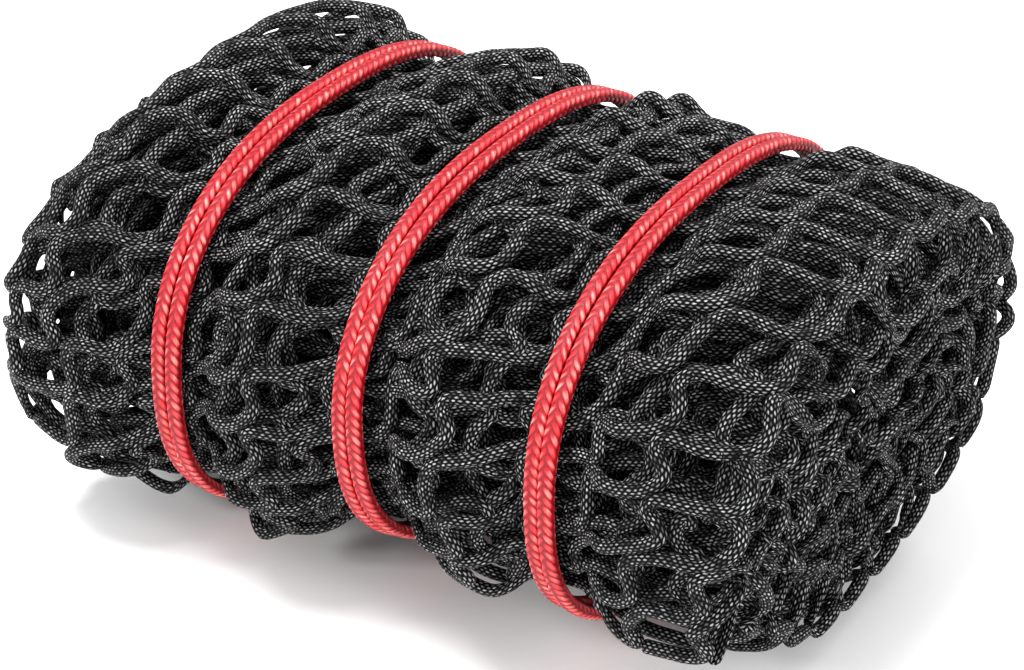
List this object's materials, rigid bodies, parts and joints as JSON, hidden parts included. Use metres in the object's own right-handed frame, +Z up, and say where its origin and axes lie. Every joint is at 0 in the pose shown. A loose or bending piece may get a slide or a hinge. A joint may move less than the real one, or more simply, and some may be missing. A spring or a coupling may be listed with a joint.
{
  "type": "folded climbing net",
  "caption": "Knotless climbing net of braided twine, folded and rolled flat into a bundle and held by doubled cord ties knotted at the back.",
  "frame": {"origin": "middle of the underside of the object's box, on the surface that the bundle lies on", "axes": "+X along the bundle, across which the ties lie; +Y from the front to the back, where the knots are; +Z up, away from the surface"},
  "size_m": [0.318, 0.2534, 0.174],
  "materials": {
    "net_twine": "black braided polypropylene twine, shiny flat filaments",
    "tie_cord": "red braided polypropylene cord, satin filaments"
  },
  "bodies": {
    "net": {"net_wrap_bottom": "net_twine", "net_wrap_top": "net_twine", "net_wrap_front": "net_twine", "net_wrap_back": "net_twine", "net_ply_1": "net_twine", "net_ply_2": "net_twine", "net_ply_3": "net_twine", "net_ply_4": "net_twine", "net_ply_5": "net_twine"},
    "tie_left": {"tie_left_loop": "tie_cord", "tie_left_knot": "tie_cord", "tie_left_tail_a": "tie_cord", "tie_left_tail_b": "tie_cord"},
    "tie_middle": {"tie_middle_loop": "tie_cord", "tie_middle_knot": "tie_cord", "tie_middle_tail_a": "tie_cord", "tie_middle_tail_b": "tie_cord"},
    "tie_right": {"tie_right_loop": "tie_cord", "tie_right_knot": "tie_cord", "tie_right_tail_a": "tie_cord", "tie_right_tail_b": "tie_cord"}
  },
  "joints": [
    {"name": "tie_left_slide", "type": "slide", "parent": "net", "child": "tie_left", "axis": [1, 0, 0], "range_m": [-0.004, 0.004]},
    {"name": "tie_middle_slide", "type": "slide", "parent": "net", "child": "tie_middle", "axis": [1, 0, 0], "range_m": [-0.004, 0.004]},
    {"name": "tie_right_slide", "type": "slide", "parent": "net", "child": "tie_right", "axis": [1, 0, 0], "range_m": [-0.004, 0.004]}
  ]
}
